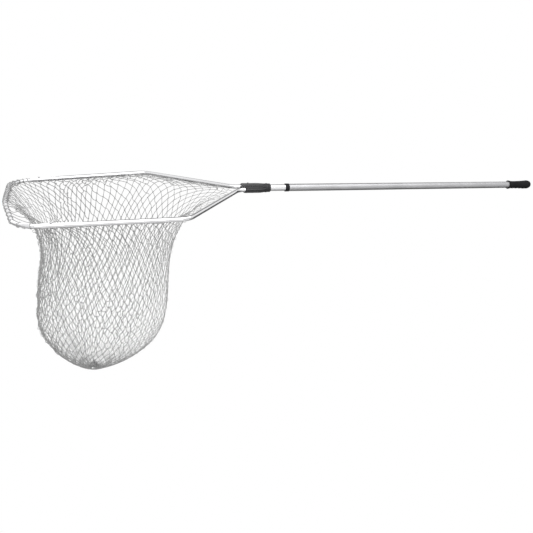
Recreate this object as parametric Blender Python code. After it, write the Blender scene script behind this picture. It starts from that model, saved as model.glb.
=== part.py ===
# Landing net: a deep net bag on a hoop of two bent arms and a tip bow, held by a yoke on a telescoping pole
# that is locked by a twist.
# Metres, +Z up. The pole lies along X, with the grip towards +X and the hoop towards -X.
# The origin is on the pole's axis, in the middle of the grip.

import math

import bmesh
import bpy
from mathutils import Vector

for leftover in list(bpy.data.objects):
    bpy.data.objects.remove(leftover, do_unlink=True)

# Fits and facets
SEAT_GAP = 0.0003
RUN_GAP = 0.0004
FACETS = 32
SMOOTH_ANGLE = math.radians(35)

# Pole
OUTER_TUBE_DIAMETER = 0.0254
OUTER_TUBE_WALL = 0.0012
OUTER_TUBE_SHOWN = 0.9775
INNER_TUBE_WALL = 0.0011
INNER_TUBE_SHOWN = 0.057
POLE_EXTENSION = 0.800
POLE_OVERLAP = 0.130
COLLAR_LENGTH = 0.0135
COLLAR_LIP = 0.003
COLLAR_WALL = 0.0008
COLLAR_CHAMFER = 0.0006

# Grip
GRIP_LENGTH = 0.112
GRIP_WALL = 0.0010
GRIP_END_WALL = 0.016
GRIP_FLARE = 0.0030
GRIP_FLARE_LENGTH = 0.026
GRIP_BULGE = 0.0027
GRIP_BUTT_LENGTH = 0.018
GRIP_BUTT_FLAT_RADIUS = 0.0075
FINGER_RIDGES = 4
FINGER_PITCH = 0.0184
FINGER_RIDGE_HEIGHT = 0.0014
FINGER_FIRST_RIDGE = 0.024

# Yoke
YOKE_LENGTH = 0.098
YOKE_HEIGHT = 0.028
YOKE_SIDE_WALL = 0.0022
YOKE_NECK_WALL = 0.0031
YOKE_NECK_LENGTH = 0.008
YOKE_SQUARENESS = 2.6
YOKE_EDGE = 0.0022
POLE_SOCKET_DEPTH = 0.060
ARM_SOCKET_DEPTH = 0.050

# Hoop, in its own plane, measured from the yoke's front
HOOP_DROOP = math.radians(2.55)
ARM_SPACING = 0.044
ARM_TUBE_DIAMETER = 0.014
ARM_TUBE_WALL = 0.0010
ARM_LEAD = 0.004
ARM_ROOT_BEND = 0.045
SHOULDER_REACH = 0.268
SHOULDER_WIDTH = 0.600
SHOULDER_BEND = 0.050
RAIL_TAPER = math.radians(5.1)
TIP_REACH = 0.730
TIP_BULGE = 0.010
TIP_BULGE_BEND = 0.700
BOW_CORNER_BEND = 0.075
BOW_WALL = 0.0012
BOW_INSERT = 0.055
BEND_STEP = math.radians(9)
TUBE_FLATS = 18
RIM_SLOT_WIDTH = 0.003
RIM_SLOT_ANGLE = math.radians(-35)
RIM_CORD_DIAMETER = 0.005
RIM_CORD_FLATS = 8

# Fasteners
ARM_SCREW_DIAMETER = 0.004
ARM_SCREW_STATION = 0.026
SCREW_HEAD_DIAMETER = 0.0076
SCREW_HEAD_HEIGHT = 0.0026
SCREW_SEAT_WALL = 0.0014
NUT_ACROSS_CORNERS = 0.0081
NUT_HEIGHT = 0.0030
BOW_RIVET_DIAMETER = 0.004
RIVET_HEAD_DIAMETER = 0.0072
RIVET_HEAD_HEIGHT = 0.0018
POLE_RIVET_DIAMETER = 0.004
POLE_RIVET_FROM_NECK_END = 0.014
POLE_RIVET_SEAT_SINK = 0.0012
FASTENER_FACETS = 16

# Twist lock
LOCK_PLUG_LENGTH = 0.030
LOCK_FLANGE = 0.003
LOCK_STEM_DIAMETER = 0.007
EXPANDER_LENGTH = 0.026
EXPANDER_NECK = 0.008
EXPANDER_LIP = 0.0015
EXPANDER_SLIT = 0.0022
CONE_NOSE_WALL = 0.0013
CONE_TAIL = 0.007
CONE_TRAVEL = 0.002
CONE_KEY_WIDTH = 0.0014
LOCK_STOP_DIAMETER = 0.013
LOCK_STOP_THICKNESS = 0.002
LOCK_SCREW_DIAMETER = 0.003
LOCK_SCREW_DEPTH = 0.012
LOCK_SCREW_HEAD_DIAMETER = 0.0062
LOCK_SCREW_HEAD_HEIGHT = 0.0022

# Net bag: it leaves the rim, draws in through a throat to an oval belly, and closes to a toe
BAG_DEPTH = 0.604
BAG_THROAT_DEPTH = 0.219
BAG_THROAT_CURVE = 1.9
BAG_BELLY_DEPTH = 0.434
BAG_BELLY_LENGTH = 0.404
BAG_BELLY_WIDTH = 0.442
BAG_BELLY_REACH = 0.437
BAG_LEAN = 0.029
BAG_TOE_SHIFT = 0.031
BAG_TOE_FLAT = 0.018
BAG_TOE_CURVE = 1.26
BAG_THICKNESS = 0.0024
BAG_MESHES_ROUND = 20
BAG_BAR_WIDTH = 0.0075
BAG_THROAT_ROWS = 3
BAG_BELLY_ROWS = 2
BAG_TOE_ROWS = 3
BAG_TOE_MESHED = 0.83
BAG_TOE_RINGS = 2
BAG_HEM_STEP = 0.040
GATHER_RING_RADIUS = 0.010
GATHER_CORD_DIAMETER = 0.004
GATHER_CORD_FLATS = 8

# Radii that fit one another
outer_tube_radius = OUTER_TUBE_DIAMETER / 2
outer_bore = outer_tube_radius - OUTER_TUBE_WALL
inner_tube_radius = outer_bore - RUN_GAP
inner_bore = inner_tube_radius - INNER_TUBE_WALL
arm_radius = ARM_TUBE_DIAMETER / 2
arm_bore = arm_radius - ARM_TUBE_WALL
bow_radius = arm_bore - SEAT_GAP
bow_bore = bow_radius - BOW_WALL
neck_radius = inner_tube_radius + SEAT_GAP + YOKE_NECK_WALL
yoke_half_width = ARM_SPACING / 2 + arm_radius + SEAT_GAP + YOKE_SIDE_WALL
yoke_half_height = YOKE_HEIGHT / 2

# Stations along the pole
butt_x = GRIP_LENGTH / 2
grip_mouth_x = butt_x - GRIP_LENGTH
outer_tube_rear_x = butt_x - GRIP_END_WALL
collar_rear_x = grip_mouth_x - OUTER_TUBE_SHOWN
collar_front_x = collar_rear_x - COLLAR_LENGTH
outer_tube_front_x = collar_front_x + COLLAR_LIP + SEAT_GAP
yoke_rear_x = collar_front_x - INNER_TUBE_SHOWN
yoke_front_x = yoke_rear_x - YOKE_LENGTH
inner_tube_front_x = yoke_rear_x - POLE_SOCKET_DEPTH + SEAT_GAP
inner_tube_rear_x = collar_front_x + POLE_EXTENSION + POLE_OVERLAP
lock_x = inner_tube_rear_x + SEAT_GAP + LOCK_FLANGE + SEAT_GAP


def material(name, colour, roughness, metallic):
    made = bpy.data.materials.new(name)
    made.use_nodes = True
    shader = made.node_tree.nodes["Principled BSDF"]
    shader.inputs["Base Color"].default_value = (*colour, 1.0)
    shader.inputs["Roughness"].default_value = roughness
    shader.inputs["Metallic"].default_value = metallic
    return made


satin_aluminium = material("satin_aluminium", (0.72, 0.72, 0.73), 0.32, 1.0)
bright_aluminium = material("bright_aluminium", (0.86, 0.86, 0.87), 0.24, 1.0)
dark_plastic = material("dark_plastic", (0.060, 0.060, 0.062), 0.45, 0.0)
black_plastic = material("black_plastic", (0.018, 0.018, 0.019), 0.42, 0.0)
black_rubber = material("black_rubber", (0.022, 0.022, 0.023), 0.62, 0.0)
net_twine = material("net_twine", (0.42, 0.42, 0.42), 0.70, 0.0)
steel = material("steel", (0.60, 0.60, 0.61), 0.30, 1.0)
lock_plastic = material("lock_plastic", (0.55, 0.55, 0.53), 0.50, 0.0)


def empty(name, parent, location, turn=0.0):
    made = bpy.data.objects.new(name, None)
    bpy.context.collection.objects.link(made)
    made.parent = parent
    made.location = location
    made.rotation_euler = (0.0, turn, 0.0)
    return made


# The joints' axes: the pole's slide, the head's twist and the cone's travel, and the hoop's own plane
handle_axis = empty("handle_axis", None, (0.0, 0.0, 0.0))
slide_axis = empty("slide_axis", handle_axis, (lock_x, 0.0, 0.0))
twist_axis = empty("twist_axis", slide_axis, (0.0, 0.0, 0.0))
cone_axis = empty("cone_axis", slide_axis, (0.0, 0.0, 0.0))
hoop_plane = empty("hoop_plane", twist_axis, (yoke_front_x - lock_x, 0.0, 0.0), -HOOP_DROOP)
bpy.context.view_layer.update()


def finish(shape, name, finish_material):
    bmesh.ops.recalc_face_normals(shape, faces=shape.faces)
    mesh = bpy.data.meshes.new(name)
    shape.to_mesh(mesh)
    shape.free()
    mesh.shade_smooth()
    mesh.set_sharp_from_angle(angle=SMOOTH_ANGLE)
    mesh.materials.append(finish_material)
    made = bpy.data.objects.new(name, mesh)
    bpy.context.collection.objects.link(made)
    return made


def place(piece, parent, x=0.0, y=0.0, z=0.0):
    piece.parent = parent
    piece.location = (x, y, z)
    return piece


def place_on_pole(piece, parent, x):
    return place(piece, parent, x - parent.matrix_world.translation.x)


def turned(name, outline, finish_material, upright=False, ring=False, facets=FACETS):
    """A turned piece about X, or about Z if upright. The outline holds (along, radius) points."""
    shape = bmesh.new()
    half_facet = math.pi / facets
    side, lift = math.sin(half_facet), math.cos(half_facet)
    if upright:
        points = [shape.verts.new((radius * lift, radius * side, along)) for along, radius in outline]
        axis = (0.0, 0.0, 1.0)
    else:
        points = [shape.verts.new((along, radius * side, radius * lift)) for along, radius in outline]
        axis = (1.0, 0.0, 0.0)
    edges = [shape.edges.new(pair) for pair in zip(points, points[1:])]
    if ring:
        edges.append(shape.edges.new((points[-1], points[0])))
    bmesh.ops.spin(shape, geom=points + edges, cent=(0, 0, 0), axis=axis, angle=math.tau, steps=facets,
                   use_merge=True)
    bmesh.ops.remove_doubles(shape, verts=shape.verts, dist=SEAT_GAP / 100)
    return finish(shape, name, finish_material)


def lofted(name, rings, finish_material, looped=False):
    """Faces between closed rings of points, capped at both ends. A looped loft joins its last ring to its first."""
    shape = bmesh.new()
    rows = [[shape.verts.new(point) for point in ring] for ring in rings]
    pairs = list(zip(rows, rows[1:]))
    if looped:
        pairs.append((rows[-1], rows[0]))
    for row, following in pairs:
        for at in range(len(row)):
            beside = (at + 1) % len(row)
            shape.faces.new((row[at], row[beside], following[beside], following[at]))
    if not looped:
        shape.faces.new(rows[0])
        shape.faces.new(rows[-1])
    return finish(shape, name, finish_material)


def helper(piece):
    piece.hide_render = True
    piece.display_type = "WIRE"
    return piece


def combine(piece, cutter, operation="DIFFERENCE"):
    change = piece.modifiers.new(cutter.name, "BOOLEAN")
    change.operation = operation
    change.solver = "EXACT"
    change.object = cutter


def post_cutter(name, radius, low, high, facets=FASTENER_FACETS):
    outline = [(low, 0.0), (low, radius), (high, radius), (high, 0.0)]
    return helper(turned(name, outline, steel, upright=True, facets=facets))


def box_cutter(name, low, high):
    corners = [(low[1], low[2]), (high[1], low[2]), (high[1], high[2]), (low[1], high[2])]
    rings = [[(x, y, z) for y, z in corners] for x in (low[0], high[0])]
    return helper(lofted(name, rings, steel))


def tube(name, length, radius, bore, finish_material):
    outline = [(0.0, radius), (length, radius), (length, bore), (0.0, bore)]
    return turned(name, outline, finish_material, ring=True)


# Outer tube, and the collar that caps its mouth and guides the inner tube
outer_tube = tube("outer_tube", outer_tube_rear_x - outer_tube_front_x, outer_tube_radius, outer_bore,
                  satin_aluminium)
place_on_pole(outer_tube, handle_axis, outer_tube_front_x)

skirt_bore = outer_tube_radius + SEAT_GAP
skirt_radius = skirt_bore + COLLAR_WALL
guide_bore = inner_tube_radius + RUN_GAP
collar_outline = [
    (0.0, guide_bore),
    (0.0, skirt_radius - COLLAR_CHAMFER),
    (COLLAR_CHAMFER, skirt_radius),
    (COLLAR_LENGTH - COLLAR_CHAMFER / 2, skirt_radius),
    (COLLAR_LENGTH, skirt_radius - COLLAR_CHAMFER / 2),
    (COLLAR_LENGTH, skirt_bore),
    (COLLAR_LIP, skirt_bore),
    (COLLAR_LIP, guide_bore),
]
place_on_pole(turned("collar", collar_outline, black_plastic, ring=True), handle_axis, collar_front_x)


# Grip: a flared mouth, a waisted body with ridges underneath between the fingers, and a round butt with a flat end
def grip_radius(along):
    waist = outer_tube_radius + SEAT_GAP + GRIP_WALL
    butt_start = GRIP_LENGTH - GRIP_BUTT_LENGTH
    flare = GRIP_FLARE * max(0.0, 1 - along / GRIP_FLARE_LENGTH) ** 2
    bulge = GRIP_BULGE * min(1.0, along / butt_start) ** 3
    if along <= butt_start:
        return waist + flare + bulge
    fall = (along - butt_start) / GRIP_BUTT_LENGTH
    return GRIP_BUTT_FLAT_RADIUS + (waist + bulge - GRIP_BUTT_FLAT_RADIUS) * math.sqrt(max(0.0, 1 - fall**2))


def finger_ridge(along):
    turns = (along - FINGER_FIRST_RIDGE) / FINGER_PITCH
    if turns < -0.5 or turns > FINGER_RIDGES - 0.5:
        return 0.0
    return FINGER_RIDGE_HEIGHT * (1 + math.cos(math.tau * turns)) / 2


finger_steps = 6
flare_steps = 4
butt_steps = 6
finger_start = FINGER_FIRST_RIDGE - FINGER_PITCH / 2
flare_stations = [finger_start * step / flare_steps for step in range(flare_steps)]
finger_stations = [
    finger_start + FINGER_PITCH * step / finger_steps for step in range(FINGER_RIDGES * finger_steps + 1)
]
butt_stations = [
    GRIP_LENGTH - GRIP_BUTT_LENGTH * (1 - math.sin(math.pi / 2 * step / butt_steps))
    for step in range(butt_steps + 1)
]
grip_rings = []
for along in flare_stations + finger_stations + butt_stations:
    ring = []
    for facet in range(FACETS):
        angle = math.tau * (facet + 0.5) / FACETS
        under = max(0.0, -math.sin(angle)) ** 2
        radius = grip_radius(along) + finger_ridge(along) * under
        ring.append((along, radius * math.cos(angle), radius * math.sin(angle)))
    grip_rings.append(ring)
grip = lofted("grip", grip_rings, black_rubber)
place_on_pole(grip, handle_axis, grip_mouth_x)
grip_socket_depth = outer_tube_rear_x + SEAT_GAP - grip_mouth_x
socket_outline = [
    (-GRIP_FLARE_LENGTH, 0.0),
    (-GRIP_FLARE_LENGTH, outer_tube_radius + SEAT_GAP),
    (grip_socket_depth, outer_tube_radius + SEAT_GAP),
    (grip_socket_depth, 0.0),
]
grip_socket = helper(turned("grip_socket_cutter", socket_outline, steel))
place_on_pole(grip_socket, handle_axis, grip_mouth_x)
combine(grip, grip_socket)

# Inner tube
inner_tube_length = inner_tube_rear_x - inner_tube_front_x
inner_tube = tube("inner_tube", inner_tube_length, inner_tube_radius, inner_bore, bright_aluminium)
place_on_pole(inner_tube, twist_axis, inner_tube_front_x)


# Twist lock, in the inner tube's rear end. Its stations run from the slide's origin at the expander's front face.
def flare_radius(along):
    narrow = LOCK_STEM_DIAMETER / 2 + RUN_GAP
    wide = outer_bore - SEAT_GAP - EXPANDER_LIP
    if along < EXPANDER_NECK:
        return narrow
    return narrow + (wide - narrow) * (along - EXPANDER_NECK) / (EXPANDER_LENGTH - EXPANDER_NECK)


def flare_station(radius):
    narrow = flare_radius(0.0)
    wide = flare_radius(EXPANDER_LENGTH)
    return EXPANDER_NECK + (EXPANDER_LENGTH - EXPANDER_NECK) * (radius - narrow) / (wide - narrow)


expander_outline = [
    (0.0, flare_radius(0.0)),
    (0.0, outer_bore - SEAT_GAP),
    (EXPANDER_LENGTH, outer_bore - SEAT_GAP),
    (EXPANDER_LENGTH, flare_radius(EXPANDER_LENGTH)),
    (EXPANDER_NECK, flare_radius(0.0)),
]
expander = place(turned("lock_expander", expander_outline, lock_plastic, ring=True), slide_axis)
slit = box_cutter("expander_slit_cutter", (-EXPANDER_NECK, -EXPANDER_SLIT / 2, 0.0),
                  (2 * EXPANDER_LENGTH, EXPANDER_SLIT / 2, 2 * outer_bore))
combine(expander, place(slit, slide_axis))

cone_bore = LOCK_STEM_DIAMETER / 2 + RUN_GAP
nose_radius = cone_bore + CONE_NOSE_WALL
nose_x = flare_station(nose_radius + SEAT_GAP)
tail_radius = flare_radius(EXPANDER_LENGTH) - SEAT_GAP
cone_end_x = EXPANDER_LENGTH + CONE_TAIL
cone_outline = [
    (nose_x, cone_bore),
    (nose_x, nose_radius),
    (EXPANDER_LENGTH, tail_radius),
    (cone_end_x, tail_radius),
    (cone_end_x, cone_bore),
]
cone = place(turned("lock_cone", cone_outline, lock_plastic, ring=True), cone_axis)
key = box_cutter("cone_key", (nose_x + CONE_NOSE_WALL, -CONE_KEY_WIDTH / 2, nose_radius - CONE_NOSE_WALL / 2),
                 (cone_end_x - CONE_NOSE_WALL, CONE_KEY_WIDTH / 2, tail_radius + EXPANDER_LIP / 2))
combine(cone, place(key, cone_axis), "UNION")

stem_end_x = cone_end_x + CONE_TRAVEL + LOCK_FLANGE
flange_front_x = -SEAT_GAP - LOCK_FLANGE
plug_front_x = flange_front_x - SEAT_GAP - LOCK_PLUG_LENGTH
screw_bore = LOCK_SCREW_DIAMETER / 2 + SEAT_GAP
plug_outline = [
    (plug_front_x, 0.0),
    (plug_front_x, inner_bore - SEAT_GAP),
    (flange_front_x, inner_bore - SEAT_GAP),
    (flange_front_x, inner_tube_radius),
    (flange_front_x + LOCK_FLANGE, inner_tube_radius),
    (flange_front_x + LOCK_FLANGE, LOCK_STEM_DIAMETER / 2),
    (stem_end_x, LOCK_STEM_DIAMETER / 2),
    (stem_end_x, screw_bore),
    (stem_end_x - LOCK_SCREW_DEPTH - SEAT_GAP, screw_bore),
    (stem_end_x - LOCK_SCREW_DEPTH - SEAT_GAP, 0.0),
]
place(turned("lock_plug", plug_outline, lock_plastic), twist_axis)

stop_front_x = stem_end_x + SEAT_GAP
stop_rear_x = stop_front_x + LOCK_STOP_THICKNESS
stop_outline = [
    (stop_front_x, screw_bore),
    (stop_front_x, LOCK_STOP_DIAMETER / 2),
    (stop_rear_x, LOCK_STOP_DIAMETER / 2),
    (stop_rear_x, screw_bore),
]
place(turned("lock_stop", stop_outline, steel, ring=True, facets=FASTENER_FACETS), twist_axis)

head_front_x = stop_rear_x + SEAT_GAP
lock_screw_outline = [
    (stem_end_x - LOCK_SCREW_DEPTH, 0.0),
    (stem_end_x - LOCK_SCREW_DEPTH, LOCK_SCREW_DIAMETER / 2),
    (head_front_x, LOCK_SCREW_DIAMETER / 2),
    (head_front_x, LOCK_SCREW_HEAD_DIAMETER / 2),
    (head_front_x + LOCK_SCREW_HEAD_HEIGHT, LOCK_SCREW_HEAD_DIAMETER / 2),
    (head_front_x + LOCK_SCREW_HEAD_HEIGHT, 0.0),
]
place(turned("lock_stop_screw", lock_screw_outline, steel, facets=FASTENER_FACETS), twist_axis)


# Yoke: a flat oval fork at its front that draws in to a round neck
def yoke_section(along):
    taper_start = ARM_SOCKET_DEPTH + YOKE_SIDE_WALL
    taper_end = YOKE_LENGTH - YOKE_NECK_LENGTH
    share = min(1.0, max(0.0, (along - taper_start) / (taper_end - taper_start)))
    ease = share * share * (3 - 2 * share)
    half_width = yoke_half_width + (neck_radius - yoke_half_width) * ease
    half_height = yoke_half_height + (neck_radius - yoke_half_height) * ease
    return half_width, half_height, YOKE_SQUARENESS + (2 - YOKE_SQUARENESS) * ease


def yoke_ring(along, inset):
    half_width, half_height, squareness = yoke_section(along)
    ring = []
    for facet in range(FACETS):
        angle = math.tau * facet / FACETS
        across = math.copysign(abs(math.cos(angle)) ** (2 / squareness), math.cos(angle))
        upward = math.copysign(abs(math.sin(angle)) ** (2 / squareness), math.sin(angle))
        ring.append((along, (half_width - inset) * across, (half_height - inset) * upward))
    return ring


yoke_taper_start = ARM_SOCKET_DEPTH + YOKE_SIDE_WALL
yoke_taper_rings = 8
taper_step = (YOKE_LENGTH - YOKE_NECK_LENGTH - yoke_taper_start) / yoke_taper_rings
yoke_rings = [yoke_ring(0.0, YOKE_EDGE), yoke_ring(YOKE_EDGE, 0.0)]
yoke_rings += [yoke_ring(yoke_taper_start + taper_step * step, 0.0) for step in range(yoke_taper_rings + 1)]
yoke_rings += [yoke_ring(YOKE_LENGTH - YOKE_EDGE / 2, 0.0), yoke_ring(YOKE_LENGTH, YOKE_EDGE / 2)]
yoke = lofted("yoke", yoke_rings, dark_plastic)
place_on_pole(yoke, twist_axis, yoke_front_x)

pole_socket_outline = [
    (YOKE_LENGTH - POLE_SOCKET_DEPTH, 0.0),
    (YOKE_LENGTH - POLE_SOCKET_DEPTH, inner_tube_radius + SEAT_GAP),
    (YOKE_LENGTH + POLE_SOCKET_DEPTH, inner_tube_radius + SEAT_GAP),
    (YOKE_LENGTH + POLE_SOCKET_DEPTH, 0.0),
]
pole_socket = helper(turned("pole_socket_cutter", pole_socket_outline, steel))
combine(yoke, place_on_pole(pole_socket, twist_axis, yoke_front_x))

# Pole rivet, straight down through the yoke's neck and the inner tube
pole_rivet_x = yoke_rear_x - POLE_RIVET_FROM_NECK_END
pole_rivet_seat = yoke_section(YOKE_LENGTH - POLE_RIVET_FROM_NECK_END)[1] - POLE_RIVET_SEAT_SINK
rivet_head_low = pole_rivet_seat + SEAT_GAP


def rivet_outline(radius, reach):
    head_radius = RIVET_HEAD_DIAMETER / 2
    dome_radius = head_radius * math.cos(math.pi / 5)
    half = [
        (reach, radius),
        (reach, head_radius),
        (reach + RIVET_HEAD_HEIGHT / 2, head_radius),
        (reach + RIVET_HEAD_HEIGHT, dome_radius),
        (reach + RIVET_HEAD_HEIGHT, 0.0),
    ]
    return [(-along, size) for along, size in reversed(half)] + half


pole_rivet = turned("pole_rivet", rivet_outline(POLE_RIVET_DIAMETER / 2, rivet_head_low), steel, upright=True,
                    facets=FASTENER_FACETS)
place_on_pole(pole_rivet, twist_axis, pole_rivet_x)
pole_rivet_hole = post_cutter("pole_rivet_hole_cutter", POLE_RIVET_DIAMETER / 2 + SEAT_GAP, -2 * neck_radius,
                              2 * neck_radius)
place_on_pole(pole_rivet_hole, twist_axis, pole_rivet_x)
combine(yoke, pole_rivet_hole)
combine(inner_tube, pole_rivet_hole)
for side, low, high in (("top", pole_rivet_seat, 2 * neck_radius), ("under", -2 * neck_radius, -pole_rivet_seat)):
    seat = post_cutter(f"pole_rivet_{side}_seat_cutter", RIVET_HEAD_DIAMETER / 2 + SEAT_GAP, low, high)
    combine(yoke, place_on_pole(seat, twist_axis, pole_rivet_x))


# Hoop centre line in the hoop's plane: x runs from the yoke back towards the tip as negative values, y sideways
def bent_line(corners, bends):
    """Points along straight runs joined by arcs. bends holds one radius for each inner corner."""
    line = [Vector(corners[0])]
    for before, corner, after, radius in zip(corners, corners[1:], corners[2:], bends):
        corner = Vector(corner)
        back = (Vector(before) - corner).normalized()
        ahead = (Vector(after) - corner).normalized()
        turn = math.pi - back.angle(ahead)
        centre = corner + (back + ahead).normalized() * (radius / math.cos(turn / 2))
        start = corner + back * (radius * math.tan(turn / 2)) - centre
        sense = math.copysign(1.0, ahead.x * back.y - ahead.y * back.x)
        steps = max(2, math.ceil(turn / BEND_STEP))
        for step in range(steps + 1):
            swing = sense * turn * step / steps
            line.append(centre + Vector((
                start.x * math.cos(swing) - start.y * math.sin(swing),
                start.x * math.sin(swing) + start.y * math.cos(swing),
            )))
    line.append(Vector(corners[-1]))
    return line


def stations(line):
    """Each point of a line with its sideways direction, which points to the hoop's inside on the right arm."""
    made = []
    for at, point in enumerate(line):
        ahead = line[min(at + 1, len(line) - 1)] - point
        behind = point - line[max(at - 1, 0)]
        heading = (ahead.normalized() + behind.normalized()).normalized()
        made.append((point, Vector((-heading.y, heading.x))))
    return made


def swept(line, profile):
    """Rings of a profile along a line. The profile holds (inwards, upwards) points."""
    rings = []
    for point, inwards in stations(line):
        rings.append([(*(point + inwards * aside), upward) for aside, upward in profile])
    return rings


def mirrored(rings):
    return [[(x, -y, z) for x, y, z in ring] for ring in rings]


def circle(radius, flats, aside=0.0, upward=0.0):
    angles = [math.tau * flat / flats for flat in range(flats)]
    return [(aside + radius * math.cos(angle), upward + radius * math.sin(angle)) for angle in angles]


shoulder = Vector((-SHOULDER_REACH, SHOULDER_WIDTH / 2))
rail_heading = Vector((-math.cos(RAIL_TAPER), -math.sin(RAIL_TAPER)))
tip_corner_x = -(TIP_REACH - TIP_BULGE)
tip_corner = shoulder + rail_heading * ((tip_corner_x - shoulder.x) / rail_heading.x)
tip_middle = Vector((-(TIP_REACH + TIP_BULGE), 0.0))
arm_start = Vector((ARM_SOCKET_DEPTH - SEAT_GAP, ARM_SPACING / 2))
splay = math.atan2(shoulder.y - ARM_SPACING / 2, SHOULDER_REACH - ARM_LEAD)
arm_root = Vector((-(ARM_LEAD + ARM_ROOT_BEND * math.tan(splay / 2)), ARM_SPACING / 2))
crossbar = (tip_middle - tip_corner).normalized()
corner_turn = rail_heading.angle(crossbar)
arm_end = tip_corner - rail_heading * (BOW_CORNER_BEND * math.tan(corner_turn / 2) + SEAT_GAP)
bow_start = arm_end - rail_heading * BOW_INSERT
arm_line = bent_line([arm_start, arm_root, shoulder, arm_end], [ARM_ROOT_BEND, SHOULDER_BEND])
right_bow_corners = [bow_start, tip_corner, tip_middle]
left_bow_corners = [Vector((corner.x, -corner.y)) for corner in reversed(right_bow_corners[:-1])]
bow_line = bent_line(right_bow_corners + left_bow_corners, [BOW_CORNER_BEND, TIP_BULGE_BEND, BOW_CORNER_BEND])


def slotted_profile():
    """The arm's section: a tube wall with a slot along its lower inner side for the net's head line."""
    outer_half = math.asin(RIM_SLOT_WIDTH / 2 / arm_radius)
    inner_half = math.asin(RIM_SLOT_WIDTH / 2 / arm_bore)
    profile = []
    for flat in range(TUBE_FLATS + 1):
        angle = RIM_SLOT_ANGLE + outer_half + (math.tau - 2 * outer_half) * flat / TUBE_FLATS
        profile.append((arm_radius * math.cos(angle), arm_radius * math.sin(angle)))
    for flat in reversed(range(TUBE_FLATS + 1)):
        angle = RIM_SLOT_ANGLE + inner_half + (math.tau - 2 * inner_half) * flat / TUBE_FLATS
        profile.append((arm_bore * math.cos(angle), arm_bore * math.sin(angle)))
    return profile


arm_rings = swept(arm_line, slotted_profile())
right_arm = place(lofted("right_arm", arm_rings, bright_aluminium), hoop_plane)
left_arm = place(lofted("left_arm", mirrored(arm_rings), bright_aluminium), hoop_plane)

bow_outer = swept(bow_line, circle(bow_radius, TUBE_FLATS))
bow_inner = swept(bow_line, circle(bow_bore, TUBE_FLATS))
bow_rings = bow_outer + list(reversed(bow_inner))
tip_bow = place(lofted("tip_bow", bow_rings, bright_aluminium, looped=True), hoop_plane)

# Head lines: one in each arm's bore, along the slot, from the yoke's end of the arm to the bow's inserted end
cord_radius = RIM_CORD_DIAMETER / 2
cord_offset = arm_bore - cord_radius - SEAT_GAP
cord_aside = cord_offset * math.cos(RIM_SLOT_ANGLE)
cord_upward = cord_offset * math.sin(RIM_SLOT_ANGLE)
cord_start = Vector((-ARM_LEAD, ARM_SPACING / 2))
cord_end = bow_start - rail_heading * SEAT_GAP
cord_line = bent_line([cord_start, arm_root, shoulder, cord_end], [ARM_ROOT_BEND, SHOULDER_BEND])
cord_rings = swept(cord_line, circle(cord_radius, RIM_CORD_FLATS, cord_aside, cord_upward))
place(lofted("right_rim_cord", cord_rings, net_twine), hoop_plane)
place(lofted("left_rim_cord", mirrored(cord_rings), net_twine), hoop_plane)

# Fasteners of the hoop: a screw and nut through the yoke and each arm, and a rivet through each arm's end and the bow
screw_radius = ARM_SCREW_DIAMETER / 2
screw_seat = arm_radius + SEAT_GAP + SCREW_SEAT_WALL
screw_x = ARM_SCREW_STATION
rivet_point = arm_end - rail_heading * (BOW_INSERT / 2)
rivet_reach = arm_radius + SEAT_GAP
beyond = YOKE_HEIGHT
screw_head_low = screw_seat + SEAT_GAP
nut_top = -screw_seat - SEAT_GAP
nut_bottom = nut_top - NUT_HEIGHT
screw_outline = [
    (nut_bottom, 0.0),
    (nut_bottom, screw_radius),
    (screw_head_low, screw_radius),
    (screw_head_low, SCREW_HEAD_DIAMETER / 2),
    (screw_head_low + SCREW_HEAD_HEIGHT / 2, SCREW_HEAD_DIAMETER / 2),
    (screw_head_low + SCREW_HEAD_HEIGHT, SCREW_HEAD_DIAMETER / 3),
    (screw_head_low + SCREW_HEAD_HEIGHT, 0.0),
]
nut_outline = [(nut_bottom, 0.0), (nut_bottom, NUT_ACROSS_CORNERS / 2), (nut_top, NUT_ACROSS_CORNERS / 2),
               (nut_top, 0.0)]
pocket_radius = NUT_ACROSS_CORNERS / 2 + SEAT_GAP
for side, sign, arm in (("left", -1, left_arm), ("right", 1, right_arm)):
    y = sign * ARM_SPACING / 2
    arm_socket_outline = [
        (-ARM_SOCKET_DEPTH, 0.0),
        (-ARM_SOCKET_DEPTH, arm_radius + SEAT_GAP),
        (ARM_SOCKET_DEPTH, arm_radius + SEAT_GAP),
        (ARM_SOCKET_DEPTH, 0.0),
    ]
    socket = helper(turned(f"{side}_arm_socket_cutter", arm_socket_outline, steel))
    combine(yoke, place(socket, hoop_plane, 0.0, y))
    screw = turned(f"arm_screw_{side}", screw_outline, steel, upright=True, facets=FASTENER_FACETS)
    place(screw, hoop_plane, screw_x, y)
    nut = turned(f"arm_nut_{side}", nut_outline, steel, upright=True, facets=6)
    place(nut, hoop_plane, screw_x, y)
    hole = post_cutter(f"{side}_screw_hole_cutter", screw_radius + SEAT_GAP, -beyond, beyond)
    place(hole, hoop_plane, screw_x, y)
    for pierced in (yoke, arm, nut):
        combine(pierced, hole)
    head_seat = post_cutter(f"{side}_screw_seat_cutter", SCREW_HEAD_DIAMETER / 2 + SEAT_GAP, screw_seat, beyond)
    combine(yoke, place(head_seat, hoop_plane, screw_x, y))
    nut_pocket = post_cutter(f"{side}_nut_pocket_cutter", pocket_radius, -beyond, -screw_seat, facets=6)
    combine(yoke, place(nut_pocket, hoop_plane, screw_x, y))

    rivet = turned(f"bow_rivet_{side}", rivet_outline(BOW_RIVET_DIAMETER / 2, rivet_reach), steel, upright=True,
                   facets=FASTENER_FACETS)
    place(rivet, hoop_plane, rivet_point.x, sign * rivet_point.y)
    rivet_hole = post_cutter(f"{side}_rivet_hole_cutter", BOW_RIVET_DIAMETER / 2 + SEAT_GAP, -beyond, beyond)
    place(rivet_hole, hoop_plane, rivet_point.x, sign * rivet_point.y)
    combine(arm, rivet_hole)
    combine(tip_bow, rivet_hole)


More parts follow.
